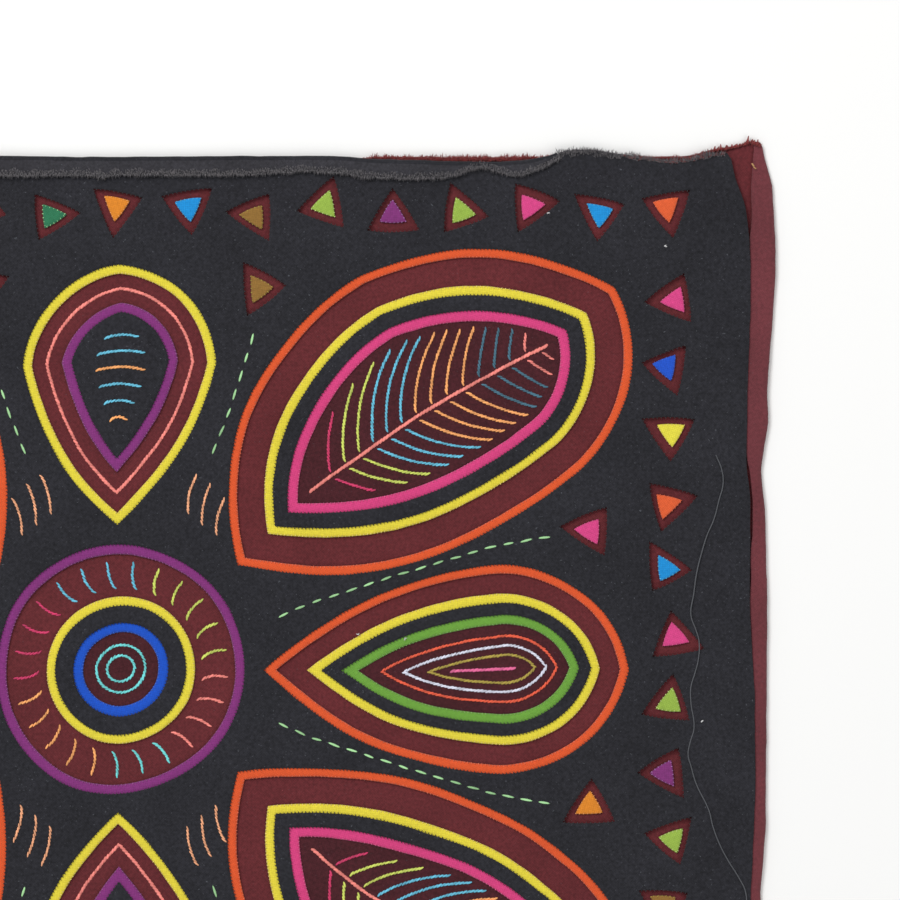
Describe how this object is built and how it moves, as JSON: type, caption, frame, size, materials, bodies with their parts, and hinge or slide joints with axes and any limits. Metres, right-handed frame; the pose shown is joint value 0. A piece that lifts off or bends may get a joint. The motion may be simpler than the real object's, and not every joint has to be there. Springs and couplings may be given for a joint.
{
  "type": "mola panel",
  "caption": "Flat rectangular reverse applique cotton panel: a black top cloth with curved and triangular windows turned under over coloured lines and a maroon ground cloth.",
  "frame": {"origin": "middle of the underside, which rests on the surface", "axes": "+X to the right across the face, +Y up the face towards the turned-over edge, +Z out of the face"},
  "size_m": [0.42, 0.34, 0.005],
  "materials": {
    "black_cotton": "matte",
    "blue_cotton": "matte",
    "green_cotton": "matte",
    "maroon_cotton": "matte",
    "orange_cotton": "matte",
    "pink_cotton": "matte",
    "purple_cotton": "matte",
    "thread": "matte",
    "yellow_cotton": "matte"
  },
  "bodies": {
    "root": {"base_cloth": "maroon_cotton", "left_petal_black": "black_cotton", "left_petal_green": "green_cotton", "left_petal_orange": "orange_cotton", "left_petal_yellow": "yellow_cotton", "loose_thread": "thread", "lower_left_petal_black": "black_cotton", "lower_left_petal_orange": "orange_cotton", "lower_left_petal_pink": "pink_cotton", "lower_left_petal_yellow": "yellow_cotton", "lower_petal_black": "black_cotton", "lower_petal_purple": "purple_cotton", "lower_petal_yellow": "yellow_cotton", "lower_right_petal_black": "black_cotton", "lower_right_petal_orange": "orange_cotton", "lower_right_petal_pink": "pink_cotton", "lower_right_petal_yellow": "yellow_cotton", "right_petal_black": "black_cotton", "right_petal_green": "green_cotton", "right_petal_orange": "orange_cotton", "right_petal_yellow": "yellow_cotton", "rosette_black": "black_cotton", "rosette_blue": "blue_cotton", "rosette_purple": "purple_cotton", "rosette_yellow": "yellow_cotton", "top_cloth": "black_cotton", "upper_left_petal_black": "black_cotton", "upper_left_petal_orange": "orange_cotton", "upper_left_petal_pink": "pink_cotton", "upper_left_petal_yellow": "yellow_cotton", "upper_petal_black": "black_cotton", "upper_petal_purple": "purple_cotton", "upper_petal_yellow": "yellow_cotton", "upper_right_petal_black": "black_cotton", "upper_right_petal_orange": "orange_cotton", "upper_right_petal_pink": "pink_cotton", "upper_right_petal_yellow": "yellow_cotton"}
  },
  "joints": []
}
